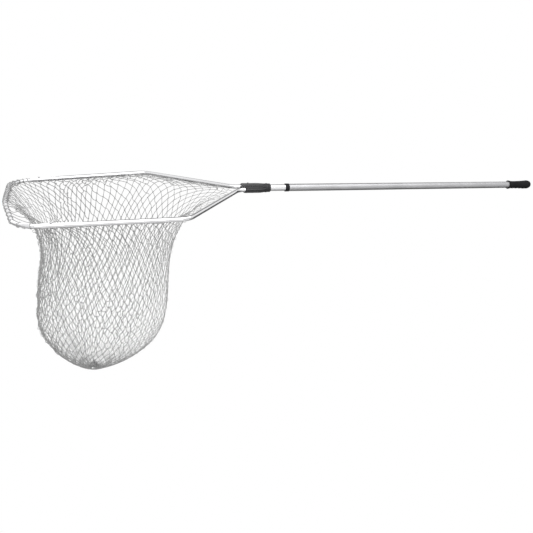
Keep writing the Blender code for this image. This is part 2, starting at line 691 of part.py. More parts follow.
# Net bag. Its hem enters the arms' slots, lies against the tip bow and spans from arm to arm in front of the yoke.
# Its knots hang in level rows below the hem.
def divided(line, longest):
    """The line with its long runs split, so that no run is longer than longest."""
    made = [line[0]]
    for before, after in zip(line, line[1:]):
        parts = math.ceil((after - before).length / longest)
        made += [before.lerp(after, part / parts) for part in range(1, parts + 1)]
    return made


def shares_along(closed_line):
    """How far along a closed line each of its points lies, from 0 to 1."""
    passed = [0.0]
    for before, after in zip(closed_line, closed_line[1:] + closed_line[:1]):
        passed.append(passed[-1] + (after - before).length)
    return [length / passed[-1] for length in passed[:-1]]


rim_start = arm_root + (shoulder - arm_root).normalized() * (ARM_ROOT_BEND * math.tan(splay / 2))
right_rim_corners = [rim_start, shoulder, tip_corner]
left_rim_corners = [Vector((corner.x, -corner.y)) for corner in reversed(right_rim_corners)]
rim_line = bent_line(right_rim_corners + [tip_middle] + left_rim_corners,
                     [SHOULDER_BEND, BOW_CORNER_BEND, TIP_BULGE_BEND, BOW_CORNER_BEND, SHOULDER_BEND])
yoke_side = (Vector((rim_start.x, 0.0)), Vector((-1.0, 0.0)))
rim = [yoke_side] + stations(divided(rim_line, BAG_HEM_STEP))
rim_shares = shares_along([point for point, inwards in rim])
span_reach = arm_radius + BAG_THICKNESS
hem_reach = span_reach + BAG_THICKNESS
slot_reach = bow_radius + SEAT_GAP
edge_reaches = [span_reach, span_reach] + [slot_reach] * (len(rim) - 3) + [span_reach]
plane_x = yoke_front_x - twist_axis.matrix_world.translation.x


def hung(point, upward):
    """A point of the hoop's plane, upward above it, in the head's level frame."""
    x = plane_x + point.x * math.cos(HOOP_DROOP) - upward * math.sin(HOOP_DROOP)
    return Vector((x, point.y, point.x * math.sin(HOOP_DROOP) + upward * math.cos(HOOP_DROOP)))


def rim_ring(reaches):
    """Points at given distances from the hoop's centre line, in the direction of the slots."""
    ring = []
    for (point, inwards), reach in zip(rim, reaches):
        ring.append(hung(point + inwards * (reach * math.cos(RIM_SLOT_ANGLE)), reach * math.sin(RIM_SLOT_ANGLE)))
    return ring


hem = rim_ring([hem_reach] * len(rim))


def hem_at(share):
    """The hem's point at a share of its length."""
    after = sum(passed <= share for passed in rim_shares)
    start = rim_shares[after - 1]
    end = (rim_shares + [1.0])[after]
    return hem[after - 1].lerp(hem[after % len(hem)], (share - start) / (end - start))


def bag_point(share, depth):
    """On the hem at depth 0, on an oval below the throat, and on a smaller and smaller oval towards the toe."""
    held = hem_at(share)
    hold = max(0.0, 1 - depth / BAG_THROAT_DEPTH) ** BAG_THROAT_CURVE
    drop = max(0.0, (depth - BAG_BELLY_DEPTH) / (BAG_DEPTH - BAG_BELLY_DEPTH))
    swell = (1 - drop**BAG_TOE_CURVE) ** (1 / BAG_TOE_CURVE)
    half_length = BAG_TOE_FLAT + (BAG_BELLY_LENGTH / 2 - BAG_TOE_FLAT) * swell
    half_width = BAG_TOE_FLAT + (BAG_BELLY_WIDTH / 2 - BAG_TOE_FLAT) * swell
    centre_x = plane_x - BAG_BELLY_REACH - BAG_LEAN * depth / BAG_DEPTH - BAG_TOE_SHIFT * drop
    oval_x = centre_x + half_length * math.cos(math.tau * share)
    oval_y = half_width * math.sin(math.tau * share)
    return Vector((
        oval_x + (held.x - oval_x) * hold,
        oval_y + (held.y - oval_y) * hold,
        held.z + (-depth - held.z) * min(1.0, depth / BAG_THROAT_DEPTH),
    ))


def steps_to(start, end, count):
    return [start + (end - start) * step / count for step in range(1, count + 1)]


def bag_row(row, depth):
    """The bag's knots at a depth. Those of every second row lie half a mesh further round."""
    shares = [(knot + row % 2 / 2) / BAG_MESHES_ROUND for knot in range(BAG_MESHES_ROUND)]
    return [net.verts.new(bag_point(share, depth)) for share in shares]


# A border along the hem, rows of diamond meshes below it, and a closed toe
toe_depth = BAG_DEPTH - BAG_BELLY_DEPTH
meshes_end = BAG_BELLY_DEPTH + toe_depth * BAG_TOE_MESHED
row_depths = steps_to(0.0, BAG_THROAT_DEPTH, BAG_THROAT_ROWS)
row_depths += steps_to(BAG_THROAT_DEPTH, BAG_BELLY_DEPTH, BAG_BELLY_ROWS)
row_depths += steps_to(BAG_BELLY_DEPTH, meshes_end, BAG_TOE_ROWS)
net = bmesh.new()
slot_loop = [net.verts.new(point) for point in rim_ring(edge_reaches)]
hem_loop = [net.verts.new(point) for point in hem]
hem_knots = [
    min(range(len(hem)), key=lambda at: abs(rim_shares[at] - knot / BAG_MESHES_ROUND))
    for knot in range(BAG_MESHES_ROUND)
]
knot_rows = [[hem_loop[at] for at in hem_knots]]
for row, depth in enumerate(row_depths, start=1):
    knot_rows.append(bag_row(row, depth))
last_row = len(row_depths)
toe_rows = [knot_rows[-1]]
for depth in steps_to(meshes_end, BAG_DEPTH, BAG_TOE_RINGS):
    toe_rows.append(bag_row(last_row, depth))
for at in range(len(rim)):
    beside = (at + 1) % len(rim)
    net.faces.new((slot_loop[at], slot_loop[beside], hem_loop[beside], hem_loop[at]))
meshes = []
for knot in range(BAG_MESHES_ROUND):
    beside = (knot + 1) % BAG_MESHES_ROUND
    hem_end = hem_knots[beside] or len(hem)
    hem_run = [hem_loop[at % len(hem)] for at in range(hem_knots[knot], hem_end + 1)]
    meshes.append(net.faces.new(hem_run + [knot_rows[1][knot]]))
    for row in range(1, last_row + 1):
        middle = beside if row % 2 else knot
        corners = [knot_rows[row - 1][middle], knot_rows[row][beside], knot_rows[row][knot]]
        if row < last_row:
            corners.insert(2, knot_rows[row + 1][middle])
        meshes.append(net.faces.new(corners))
    for upper, lower in zip(toe_rows, toe_rows[1:]):
        net.faces.new((upper[knot], upper[beside], lower[beside], lower[knot]))
net.faces.new(toe_rows[-1])
bmesh.ops.recalc_face_normals(net, faces=net.faces)
bmesh.ops.inset_individual(net, faces=meshes, thickness=BAG_BAR_WIDTH / 2, use_even_offset=True)
bmesh.ops.delete(net, geom=meshes, context="FACES")
net_bag = place(finish(net, "net_bag", net_twine), twist_axis)
skin = net_bag.modifiers.new("skin", "SOLIDIFY")
skin.thickness = BAG_THICKNESS
skin.offset = 0.0
skin.use_rim = True

# Gathering cord, tied in a ring on the inside of the bag's toe
gather_radius = GATHER_CORD_DIAMETER / 2
gather_z = -BAG_DEPTH + BAG_THICKNESS / 2 + SEAT_GAP + gather_radius
gather_outline = [
    (along, GATHER_RING_RADIUS + aside) for aside, along in circle(gather_radius, GATHER_CORD_FLATS)
]
gather_cord = turned("gather_cord", gather_outline, net_twine, upright=True, ring=True)
place(gather_cord, twist_axis, plane_x - BAG_BELLY_REACH - BAG_LEAN - BAG_TOE_SHIFT, 0.0, gather_z)
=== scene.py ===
import math
import bpy
import numpy as np
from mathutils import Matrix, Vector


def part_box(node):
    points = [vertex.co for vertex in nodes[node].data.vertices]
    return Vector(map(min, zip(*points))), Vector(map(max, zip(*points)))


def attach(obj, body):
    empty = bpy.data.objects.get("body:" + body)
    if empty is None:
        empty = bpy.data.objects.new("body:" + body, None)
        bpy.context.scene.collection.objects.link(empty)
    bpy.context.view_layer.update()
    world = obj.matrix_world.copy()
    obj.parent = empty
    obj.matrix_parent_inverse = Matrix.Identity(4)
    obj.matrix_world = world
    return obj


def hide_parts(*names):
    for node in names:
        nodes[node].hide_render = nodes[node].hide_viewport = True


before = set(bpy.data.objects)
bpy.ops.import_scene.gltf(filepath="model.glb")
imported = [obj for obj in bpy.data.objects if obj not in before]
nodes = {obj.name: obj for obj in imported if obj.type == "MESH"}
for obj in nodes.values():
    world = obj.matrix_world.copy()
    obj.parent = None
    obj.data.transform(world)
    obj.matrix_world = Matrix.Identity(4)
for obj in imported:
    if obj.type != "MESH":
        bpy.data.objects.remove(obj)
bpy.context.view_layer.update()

bpy.ops.object.select_all(action="DESELECT")
print("frame loaded:", len(nodes), "nodes")

# camera, fitted to the pole and the hoop
cameraSpec = {"place": (-1.9271, -1.9022, 0.4687), "turn": (69.918, -4.545, -22.076), "lens": 41.70}
cameraTurn = [math.radians(a) for a in cameraSpec["turn"]]
bpy.ops.object.camera_add(location=cameraSpec["place"], rotation=cameraTurn)
camera = bpy.context.object
camera.name = "photoCamera"
camera.data.lens = cameraSpec["lens"]
camera.data.sensor_width = 36
camera.data.clip_end = 200
bpy.context.scene.camera = camera

# studio: white to the lens, a pale floor well below the bag, three soft boxes
studioSpec = {"floorLevel": -0.95, "floorSize": 90, "floorTone": 0.70, "toneRun": (-1.05, -0.45),
              "floorShades": (0.34, 0.08), "shadeRun": (0.1, 0.7), "surround": (0.95, 0.30),
              "curtainFacing": (0.30, 0.63, 0.715), "curtainRun": (0.86, 0.94),
              "topLight": 40, "frontLight": 60, "rimLight": 10}


def whiteToLens(tree, shaded, glow):
    # what the lens sees straight on is plain white, reflections get the studio's own tone
    path = tree.nodes.new("ShaderNodeLightPath")
    mix = tree.nodes.new("ShaderNodeMixShader")
    tree.links.new(path.outputs["Is Camera Ray"], mix.inputs[0])
    tree.links.new(shaded, mix.inputs[1])
    tree.links.new(glow, mix.inputs[2])
    return mix.outputs[0]


world = bpy.data.worlds.new("studio")
bpy.context.scene.world = world
world.use_nodes = True
tree = world.node_tree
facing = tree.nodes.new("ShaderNodeVectorMath")  # a dark curtain behind the net edges its tubes
facing.operation = "DOT_PRODUCT"
facing.inputs[1].default_value = studioSpec["curtainFacing"]
tree.links.new(tree.nodes.new("ShaderNodeTexCoord").outputs["Generated"], facing.inputs[0])
curtain = tree.nodes.new("ShaderNodeMapRange")
curtain.interpolation_type = "SMOOTHSTEP"
for socket, value in zip(curtain.inputs[1:5], (*studioSpec["curtainRun"], *studioSpec["surround"])):
    socket.default_value = value
tree.links.new(facing.outputs["Value"], curtain.inputs[0])
tree.nodes["Background"].inputs[0].default_value = (1, 1, 1, 1)
tree.links.new(curtain.outputs[0], tree.nodes["Background"].inputs[1])
lensSide = tree.nodes.new("ShaderNodeBackground")
lensSide.inputs[0].default_value = (1, 1, 1, 1)
seen = whiteToLens(tree, tree.nodes["Background"].outputs[0], lensSide.outputs[0])
tree.links.new(seen, tree.nodes["World Output"].inputs[0])

bpy.ops.mesh.primitive_plane_add(size=studioSpec["floorSize"], location=(-1, 0, studioSpec["floorLevel"]))
floor = bpy.context.object
floor.name = "floor"
floorPaper = bpy.data.materials.new("floorPaper")
floorPaper.use_nodes = True
tree = floorPaper.node_tree
away = tree.nodes.new("ShaderNodeSeparateXYZ")
tree.links.new(tree.nodes.new("ShaderNodeTexCoord").outputs["Object"], away.inputs[0])
shade = tree.nodes.new("ShaderNodeMapRange")  # darker behind the pole than behind the hoop
for socket, value in zip(shade.inputs[1:5], (*studioSpec["shadeRun"], *studioSpec["floorShades"])):
    socket.default_value = value
tree.links.new(away.outputs[0], shade.inputs[0])
tone = tree.nodes.new("ShaderNodeMapRange")
for socket, value in zip(tone.inputs[1:4], (*studioSpec["toneRun"], studioSpec["floorTone"])):
    socket.default_value = value
tree.links.new(away.outputs[1], tone.inputs[0])
tree.links.new(shade.outputs[0], tone.inputs[4])
tree.links.new(tone.outputs[0], tree.nodes["Principled BSDF"].inputs["Base Color"])
tree.nodes["Principled BSDF"].inputs["Roughness"].default_value = 0.9
paperGlow = tree.nodes.new("ShaderNodeEmission")
seen = whiteToLens(tree, tree.nodes["Principled BSDF"].outputs[0], paperGlow.outputs[0])
tree.links.new(seen, tree.nodes["Material Output"].inputs[0])
floor.data.materials.append(floorPaper)


def softBox(name, place, aim, size, power):
    bpy.ops.object.light_add(type="AREA", location=place)
    box = bpy.context.object
    box.name = name
    box.data.shape = "RECTANGLE"
    box.data.size, box.data.size_y = size
    box.data.energy = power
    run = [a - p for a, p in zip(aim, place)]
    flat = math.hypot(run[0], run[1])
    box.rotation_euler = (math.atan2(flat, -run[2]), 0, math.atan2(run[0], -run[1]) + math.pi)
    return box


softBox("topBox", (-0.9, -0.9, 2.4), (-0.95, 0.0, -0.1), (4.2, 1.6), studioSpec["topLight"])
softBox("frontBox", (-1.5, -4.0, 2.2), (-1.2, 0.0, -0.2), (4.6, 2.4), studioSpec["frontLight"])
softBox("rimBox", (-2.4, 2.2, 1.4), (-1.4, 0.0, -0.2), (1.6, 1.2), studioSpec["rimLight"])
bpy.context.scene.view_settings.view_transform = "Standard"
print("studio set")


# shader groups
def nodeGroup(name, inputs, outputs):
    group = bpy.data.node_groups.new(name, "ShaderNodeTree")
    for label, kind, value in inputs:
        socket = group.interface.new_socket(name=label, in_out="INPUT", socket_type=kind)
        socket.default_value = value
    for label, kind in outputs:
        group.interface.new_socket(name=label, in_out="OUTPUT", socket_type=kind)
    start = group.nodes.new("NodeGroupInput")
    end = group.nodes.new("NodeGroupOutput")
    return group, start, end


def mathNode(tree, kind, first, second=None):
    node = tree.nodes.new("ShaderNodeMath")
    node.operation = kind
    for socket, value in zip(node.inputs, (first, second)):
        if isinstance(value, (int, float)):
            socket.default_value = value
        elif value is not None:
            tree.links.new(value, socket)
    return node.outputs[0]


def noiseNode(tree, vector, scale, detail=3.0, roughness=0.55):
    node = tree.nodes.new("ShaderNodeTexNoise")
    node.inputs["Detail"].default_value = detail
    node.inputs["Roughness"].default_value = roughness
    if isinstance(scale, (int, float)):
        node.inputs["Scale"].default_value = scale
    else:
        tree.links.new(scale, node.inputs["Scale"])
    tree.links.new(vector, node.inputs["Vector"])
    return node.outputs["Fac"]


def valueBetween(tree, factor, low, high, fromLow=0.0, fromHigh=1.0):
    node = tree.nodes.new("ShaderNodeMapRange")
    node.inputs["From Min"].default_value = fromLow
    node.inputs["From Max"].default_value = fromHigh
    node.inputs["To Min"].default_value = low
    node.inputs["To Max"].default_value = high
    tree.links.new(factor, node.inputs["Value"])
    return node.outputs[0]


# drawn tube: long fine lines from the die, cloudy handling marks, and a few rubbed streaks
group, start, end = nodeGroup(
    "drawnLines",
    [("Lines", "NodeSocketFloat", 900.0), ("Stretch", "NodeSocketFloat", 0.01)],
    [("Line", "NodeSocketFloat"), ("Cloud", "NodeSocketFloat"), ("Rub", "NodeSocketFloat")])
coords = group.nodes.new("ShaderNodeTexCoord")
stretch = group.nodes.new("ShaderNodeMapping")
combine = group.nodes.new("ShaderNodeCombineXYZ")
group.links.new(start.outputs["Stretch"], combine.inputs[0])
combine.inputs[1].default_value = 1
combine.inputs[2].default_value = 1
group.links.new(coords.outputs["Object"], stretch.inputs["Vector"])
group.links.new(combine.outputs[0], stretch.inputs["Scale"])
group.links.new(noiseNode(group, stretch.outputs[0], start.outputs["Lines"], 4.0, 0.6), end.inputs["Line"])
group.links.new(noiseNode(group, coords.outputs["Object"], 9.0, 5.0, 0.6), end.inputs["Cloud"])
rub = noiseNode(group, coords.outputs["Object"], 60.0, 6.0, 0.7)
group.links.new(valueBetween(group, rub, 0.0, 1.0, 0.58, 0.70), end.inputs["Rub"])

# moulded skin: a fine spark-eroded grain, faint flow clouds and scuffs
group, start, end = nodeGroup(
    "mouldedSkin",
    [("Grain", "NodeSocketFloat", 2600.0)],
    [("Grain", "NodeSocketFloat"), ("Cloud", "NodeSocketFloat"), ("Scuff", "NodeSocketFloat")])
coords = group.nodes.new("ShaderNodeTexCoord")
grain = noiseNode(group, coords.outputs["Object"], start.outputs["Grain"], 2.0, 0.5)
group.links.new(grain, end.inputs["Grain"])
group.links.new(noiseNode(group, coords.outputs["Object"], 22.0, 4.0, 0.6), end.inputs["Cloud"])
scuff = noiseNode(group, coords.outputs["Object"], 140.0, 7.0, 0.75)
group.links.new(valueBetween(group, scuff, 0.0, 1.0, 0.60, 0.75), end.inputs["Scuff"])


def newMaterial(name):
    material = bpy.data.materials.new(name)
    material.use_nodes = True
    tree = material.node_tree
    return material, tree, tree.nodes["Principled BSDF"]


def placeGroup(tree, name, **values):
    node = tree.nodes.new("ShaderNodeGroup")
    node.node_tree = bpy.data.node_groups[name]
    for label, value in values.items():
        node.inputs[label].default_value = value
    return node


def tintBetween(tree, factor, low, high, lowAt=0.3, highAt=0.7):
    ramp = tree.nodes.new("ShaderNodeValToRGB")
    ramp.color_ramp.elements[0].position = lowAt
    ramp.color_ramp.elements[1].position = highAt
    ramp.color_ramp.elements[0].color = (*low, 1)
    ramp.color_ramp.elements[1].color = (*high, 1)
    tree.links.new(factor, ramp.inputs[0])
    return ramp.outputs[0]


def bumpFrom(tree, height, strength, distance):
    node = tree.nodes.new("ShaderNodeBump")
    node.inputs["Strength"].default_value = strength
    node.inputs["Distance"].default_value = distance
    tree.links.new(height, node.inputs["Height"])
    return node.outputs[0]


def tubeMetal(name, low, high, smooth, rough, lines, bump):
    material, tree, shader = newMaterial(name)
    skin = placeGroup(tree, "drawnLines", Lines=lines)
    shader.inputs["Metallic"].default_value = 1
    tree.links.new(tintBetween(tree, skin.outputs["Cloud"], low, high), shader.inputs["Base Color"])
    worn = mathNode(tree, "MULTIPLY", skin.outputs["Rub"], 0.10)
    polish = valueBetween(tree, skin.outputs["Line"], smooth, rough)
    tree.links.new(mathNode(tree, "ADD", polish, worn), shader.inputs["Roughness"])
    tree.links.new(bumpFrom(tree, skin.outputs["Line"], bump, 0.00005), shader.inputs["Normal"])
    return material


def moulded(name, low, high, smooth, rough, grain, bump, shine=0.5, relief=None):
    material, tree, shader = newMaterial(name)
    shader.inputs["Specular IOR Level"].default_value = shine
    skin = placeGroup(tree, "mouldedSkin", Grain=grain)
    tree.links.new(tintBetween(tree, skin.outputs["Cloud"], low, high), shader.inputs["Base Color"])
    gloss = valueBetween(tree, skin.outputs["Grain"], smooth, rough)
    scuffed = mathNode(tree, "MULTIPLY", skin.outputs["Scuff"], 0.12)
    tree.links.new(mathNode(tree, "ADD", gloss, scuffed), shader.inputs["Roughness"])
    normal = bumpFrom(tree, skin.outputs["Grain"], bump, 0.0001)
    if relief:
        node = tree.nodes.new("ShaderNodeBump")
        node.inputs["Strength"].default_value = 1
        node.inputs["Distance"].default_value = relief["depth"]
        tree.links.new(reliefHeight(tree, relief), node.inputs["Height"])
        tree.links.new(normal, node.inputs["Normal"])
        normal = node.outputs[0]
    tree.links.new(normal, shader.inputs["Normal"])
    return material


def reliefHeight(tree, spec):
    # flutes along the block, rings round its neck
    coords = tree.nodes.new("ShaderNodeTexCoord")
    parts = tree.nodes.new("ShaderNodeSeparateXYZ")
    tree.links.new(coords.outputs["Object"], parts.inputs[0])
    upward = mathNode(tree, "MULTIPLY", parts.outputs[2], 2 * math.pi / spec["flutePitch"])
    along = mathNode(tree, "MULTIPLY", parts.outputs[0], 2 * math.pi / spec["ringPitch"])
    flute = mathNode(tree, "COSINE", upward)
    ring = mathNode(tree, "COSINE", along)
    neckBy = spec["neckFrom"] + spec["neckBlend"]
    atNeck = valueBetween(tree, parts.outputs[0], 0.0, 1.0, spec["neckFrom"], neckBy)
    onBody = valueBetween(tree, parts.outputs[0], 1.0, 0.0, spec["neckFrom"], neckBy)
    rings = mathNode(tree, "MULTIPLY", mathNode(tree, "MULTIPLY", ring, spec["ringShare"]), atNeck)
    return mathNode(tree, "ADD", mathNode(tree, "MULTIPLY", flute, onBody), rings)


yokeRelief = {"flutePitch": 0.0088, "ringPitch": 0.0062, "ringShare": 0.6, "depth": 0.0012,
              "neckFrom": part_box("yoke")[1][0] - 0.024, "neckBlend": 0.006}
satinTube = tubeMetal("satinTube", (0.46, 0.46, 0.47), (0.54, 0.54, 0.55), 0.36, 0.48, 700, 0.25)
brightTube = tubeMetal("brightTube", (0.80, 0.80, 0.81), (0.88, 0.88, 0.89), 0.06, 0.14, 900, 0.12)
plainSteel = tubeMetal("plainSteel", (0.46, 0.46, 0.47), (0.56, 0.56, 0.57), 0.22, 0.38, 1200, 0.15)
blackSteel = tubeMetal("blackSteel", (0.055, 0.055, 0.057), (0.085, 0.085, 0.088), 0.38, 0.52, 1200, 0.15)
yokePlastic = moulded("yokePlastic", (0.026, 0.026, 0.028), (0.037, 0.037, 0.039), 0.36, 0.50, 2200, 0.12,
                      shine=0.32, relief=yokeRelief)
collarPlastic = moulded("collarPlastic", (0.006, 0.006, 0.007), (0.010, 0.010, 0.011), 0.34, 0.50, 2600, 0.20,
                        shine=0.18)
gripRubber = moulded("gripRubber", (0.005, 0.005, 0.006), (0.009, 0.009, 0.010), 0.52, 0.70, 1500, 0.40,
                     shine=0.12)
lockNylon = moulded("lockNylon", (0.48, 0.47, 0.44), (0.58, 0.57, 0.54), 0.40, 0.55, 1800, 0.25)

finishes = {
    satinTube: ["outer_tube"],
    brightTube: ["inner_tube", "left_arm", "right_arm", "tip_bow"],
    plainSteel: ["lock_stop", "lock_stop_screw", "bow_rivet_left", "bow_rivet_right"],
    blackSteel: ["pole_rivet", "arm_screw_left", "arm_screw_right", "arm_nut_left", "arm_nut_right"],
    yokePlastic: ["yoke"],
    collarPlastic: ["collar"],
    gripRubber: ["grip"],
    lockNylon: ["lock_expander", "lock_cone", "lock_plug"],
}
for material, names in finishes.items():
    for name in names:
        nodes[name].data.materials.clear()
        nodes[name].data.materials.append(material)
print("finishes on the frame's nodes")


# twine: plies laid round each other, read from the piece's own UV map (u along in metres, v round)
def twineMaterial(name, low, high, lay):
    material, tree, shader = newMaterial(name)
    uv = tree.nodes.new("ShaderNodeUVMap")
    uv.uv_map = "lay"
    parts = tree.nodes.new("ShaderNodeSeparateXYZ")
    tree.links.new(uv.outputs[0], parts.inputs[0])
    turn = mathNode(tree, "ADD", mathNode(tree, "MULTIPLY", parts.outputs[0], 2 * math.pi * 2 / lay),
                    mathNode(tree, "MULTIPLY", parts.outputs[1], 2 * math.pi * 2))
    ply = mathNode(tree, "ABSOLUTE", mathNode(tree, "SINE", mathNode(tree, "MULTIPLY", turn, 0.5)))
    coords = tree.nodes.new("ShaderNodeTexCoord")
    fibre = noiseNode(tree, coords.outputs["Object"], 1500.0, 3.0, 0.6)
    cloud = noiseNode(tree, coords.outputs["Object"], 18.0, 3.0, 0.6)
    # painted shade: the ply wave darkens the twine's colour in the grooves between plies and lightens the
    # crests; the cloud is random tone of the twine
    clouded = mathNode(tree, "MULTIPLY", cloud, 0.6)
    plyGrooveShade = mathNode(tree, "MULTIPLY", ply, 0.35)
    shade = mathNode(tree, "ADD", clouded, plyGrooveShade)
    tree.links.new(tintBetween(tree, shade, low, high, 0.25, 0.75), shader.inputs["Base Color"])
    tree.links.new(valueBetween(tree, fibre, 0.55, 0.80), shader.inputs["Roughness"])
    height = mathNode(tree, "ADD", ply, mathNode(tree, "MULTIPLY", fibre, 0.35))
    tree.links.new(bumpFrom(tree, height, 0.7, 0.0003), shader.inputs["Normal"])
    shader.inputs["Sheen Weight"].default_value = 0.15
    return material


netTwine = twineMaterial("netTwine", (0.26, 0.26, 0.26), (0.42, 0.42, 0.42), 0.008)
headLineTwine = twineMaterial("headLineTwine", (0.24, 0.24, 0.24), (0.38, 0.38, 0.38), 0.012)

# hoop's centre line in its own plane, from the yoke's front, repeated from the part
hoopSpec = {"front": -1.202, "droop": 2.55, "slotTurn": -35, "shoulder": (-0.268, 0.300), "taper": 5.1,
            "tip": 0.730, "bulge": 0.010, "root": 0.004, "spacing": 0.022, "rootBend": 0.045,
            "bends": (0.050, 0.075, 0.7, 0.075, 0.050)}


def bentLine(corners, bends, step=0.004):
    corners = [np.array(c, float) for c in corners]
    line = [corners[0]]
    for before, corner, after, radius in zip(corners, corners[1:], corners[2:], bends):
        back = (before - corner) / np.linalg.norm(before - corner)
        ahead = (after - corner) / np.linalg.norm(after - corner)
        turn = math.pi - math.acos(np.clip(back @ ahead, -1, 1))
        middle = (back + ahead) / np.linalg.norm(back + ahead)
        centre = corner + middle * (radius / math.cos(turn / 2))
        spoke = corner + back * (radius * math.tan(turn / 2)) - centre
        sense = math.copysign(1, ahead[0] * back[1] - ahead[1] * back[0])
        count = max(2, math.ceil(turn * radius / step))
        for k in range(count + 1):
            c, s = math.cos(sense * turn * k / count), math.sin(sense * turn * k / count)
            line.append(centre + np.array([spoke[0] * c - spoke[1] * s, spoke[0] * s + spoke[1] * c]))
    line.append(corners[-1])
    return np.array(line)


def hoopLine(spec):
    shoulder = np.array(spec["shoulder"])
    taper = math.radians(spec["taper"])
    heading = np.array([-math.cos(taper), -math.sin(taper)])
    tipX = -(spec["tip"] - spec["bulge"])
    tipCorner = shoulder + heading * ((tipX - shoulder[0]) / heading[0])
    tipMiddle = np.array([-(spec["tip"] + spec["bulge"]), 0])
    splay = math.atan2(shoulder[1] - spec["spacing"], -shoulder[0] - spec["root"])
    rootSet = spec["rootBend"] * math.tan(splay / 2)
    root = np.array([-(spec["root"] + rootSet), spec["spacing"]])
    rootEnd = root + (shoulder - root) / np.linalg.norm(shoulder - root) * rootSet
    flip = np.array([1, -1])
    corners = [rootEnd, shoulder, tipCorner, tipMiddle, tipCorner * flip, shoulder * flip, rootEnd * flip]
    return bentLine(corners, spec["bends"])


hoop = hoopLine(hoopSpec)
hoopSteps = np.linalg.norm(np.diff(hoop, axis=0), axis=1)
hoopRun = np.concatenate([[0], np.cumsum(hoopSteps)])
hoopLength = hoopRun[-1]
hoopGap = np.linalg.norm(hoop[0] - hoop[-1])
rimLength = hoopLength + hoopGap


def onHoop(run):
    k = np.clip(np.searchsorted(hoopRun, run, side="right") - 1, 0, len(hoopSteps) - 1)
    share = (run - hoopRun[k]) / hoopSteps[k]
    ahead = (hoop[k + 1] - hoop[k]) / hoopSteps[k][..., None]
    return hoop[k] + (hoop[k + 1] - hoop[k]) * share[..., None], np.stack([-ahead[..., 1], ahead[..., 0]], -1)


def besideHoop(run, reach, turn=hoopSpec["slotTurn"]):
    # points at a reach from the tube's axis, at the slot's turn unless another is given
    run = np.asarray(run, float)
    flat, inward = onHoop(run)
    turn = np.radians(turn)
    droop = math.radians(hoopSpec["droop"])
    flat = flat + inward * np.broadcast_to(reach * np.cos(turn), run.shape)[..., None]
    up = np.broadcast_to(reach * np.sin(turn), run.shape)
    return np.stack([hoopSpec["front"] + flat[..., 0] * math.cos(droop) - up * math.sin(droop), flat[..., 1],
                     flat[..., 0] * math.sin(droop) + up * math.cos(droop)], -1)


def runAtX(x, farSide=True):
    # how far along the hoop an arm passes a place along the pole
    half = len(hoop) // 2
    line = besideHoop(hoopRun[:half], 0.0)[:, 0]
    run = np.interp(-x, -line, hoopRun[:half])
    return run if farSide else hoopLength - run


# the bag's form: the solid's, with a slight waist and a fuller toe on the pole's side
bagSpec = {"depth": 0.617, "throatDepth": 0.219, "throatCurve": 1.9, "bellyDepth": 0.440, "lateBelly": 0.030,
           "halfLength": 0.205, "halfWidth": 0.221, "reach": 0.439, "lean": 0.029, "toeShift": 0.029,
           "toeFlat": 0.005, "toeCurve": 1.30, "toeSharp": 0.08, "waist": 0.05, "waistDepth": 0.19,
           "waistSpan": 0.09, "tipAt": 0.42, "tipWide": 0.09, "tipCurve": 2.2, "toeStop": 0.9995}
netSpec = {"meshesRound": 74, "rows": 34, "bar": 0.025, "leastFall": 0.35, "hemReach": 0.0068,
           "hemPoints": 2400, "armCrowd": 0.50, "farBowCrowd": 1.45, "nearBowCrowd": 0.67, "bowFrom": -0.655,
           "cornerCut": (0.505, 0.635), "cornerIn": 0.075, "cornerDown": 0.03,
           "rimMarks": (0, 0.1755, 0.2183, 0.2728, 0.3036, 0.344, 0.384, 0.5, 0.616, 0.8245, 1),
           "bellyMarks": (0, 0.132, 0.1875, 0.262, 0.302, 0.344, 0.381, 0.535, 0.628, 0.868, 1),
           "throatRows": 9.0, "drag": 0.020, "dragRows": 4.0, "dragGone": 10.0, "dragSlack": 0.5,
           "dragFrom": (0.12, 0.19), "dragTo": (0.23, 0.38), "slackFrom": 0.15, "slackBend": 1.0,
           "rimJitter": 0.10, "barJitter": 0.03, "roughHang": 0.0015, "settling": 60, "pull": 0.12,
           "pullFade": 0.5, "seed": 5}
hemCount = netSpec["hemPoints"]
hemShare = (np.arange(hemCount) + 0.5) / hemCount
hemRun = hemShare * rimLength - hoopGap / 2
hemLine = besideHoop(np.clip(hemRun, 0, hoopLength), netSpec["hemReach"])
hemEnds = besideHoop([0.0, hoopLength], netSpec["hemReach"])
for k in np.where((hemRun < 0) | (hemRun > hoopLength))[0]:
    across = hemRun[k] / hoopGap + 1 if hemRun[k] < 0 else (hemRun[k] - hoopLength) / hoopGap
    hemLine[k] = hemEnds[1] + (hemEnds[0] - hemEnds[1]) * across
# the netting cuts the near corner of the bow, where only a few loops hold it
cutFrom, cutTo = netSpec["cornerCut"]
cut = np.sin(np.clip((hemShare - cutFrom) / (cutTo - cutFrom), 0, 1) * math.pi) ** 2
hemLine[:, :2] += onHoop(np.clip(hemRun, 0, hoopLength))[1] * (cut * netSpec["cornerIn"])[:, None]
hemLine[:, 2] -= cut * netSpec["cornerDown"]


def hemAt(share):
    place = (share % 1) * hemCount - 0.5
    low = np.floor(place).astype(int)
    part = (place - low)[..., None]
    return hemLine[low % hemCount] * (1 - part) + hemLine[(low + 1) % hemCount] * part


